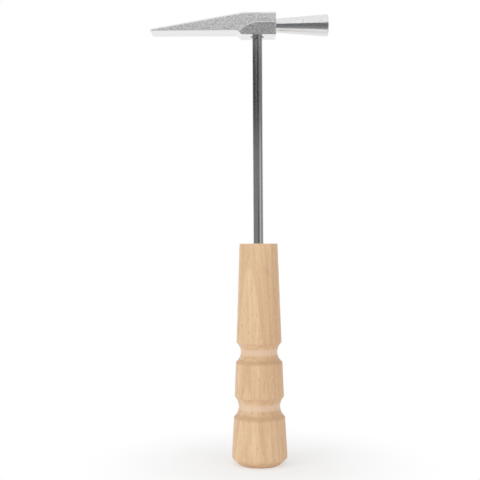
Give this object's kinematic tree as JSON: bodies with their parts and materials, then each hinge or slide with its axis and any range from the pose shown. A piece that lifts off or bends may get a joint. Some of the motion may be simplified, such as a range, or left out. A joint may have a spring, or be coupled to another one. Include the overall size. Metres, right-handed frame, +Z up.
{
  "type": "kalimba tuning hammer",
  "caption": "Small tuning hammer with a wedge and a flared round striker on one cast head, a thin steel rod and a grooved turned wooden handle.",
  "frame": {"origin": "centre of the handle's flat butt, which the hammer stands on", "axes": "+Z up the rod's axis to the head; -X towards the wedge's tip; +X out of the striking face; +Y across the head"},
  "size_m": [0.0683, 0.0214, 0.1737],
  "materials": {
    "cast_head": "satin",
    "chromed_rod": "polished",
    "turned_wood": "satin",
    "cured_glue": "gloss"
  },
  "bodies": {
    "root": {"head": "cast_head", "shaft": "chromed_rod", "handle": "turned_wood", "handle_glue": "cured_glue"}
  },
  "joints": []
}
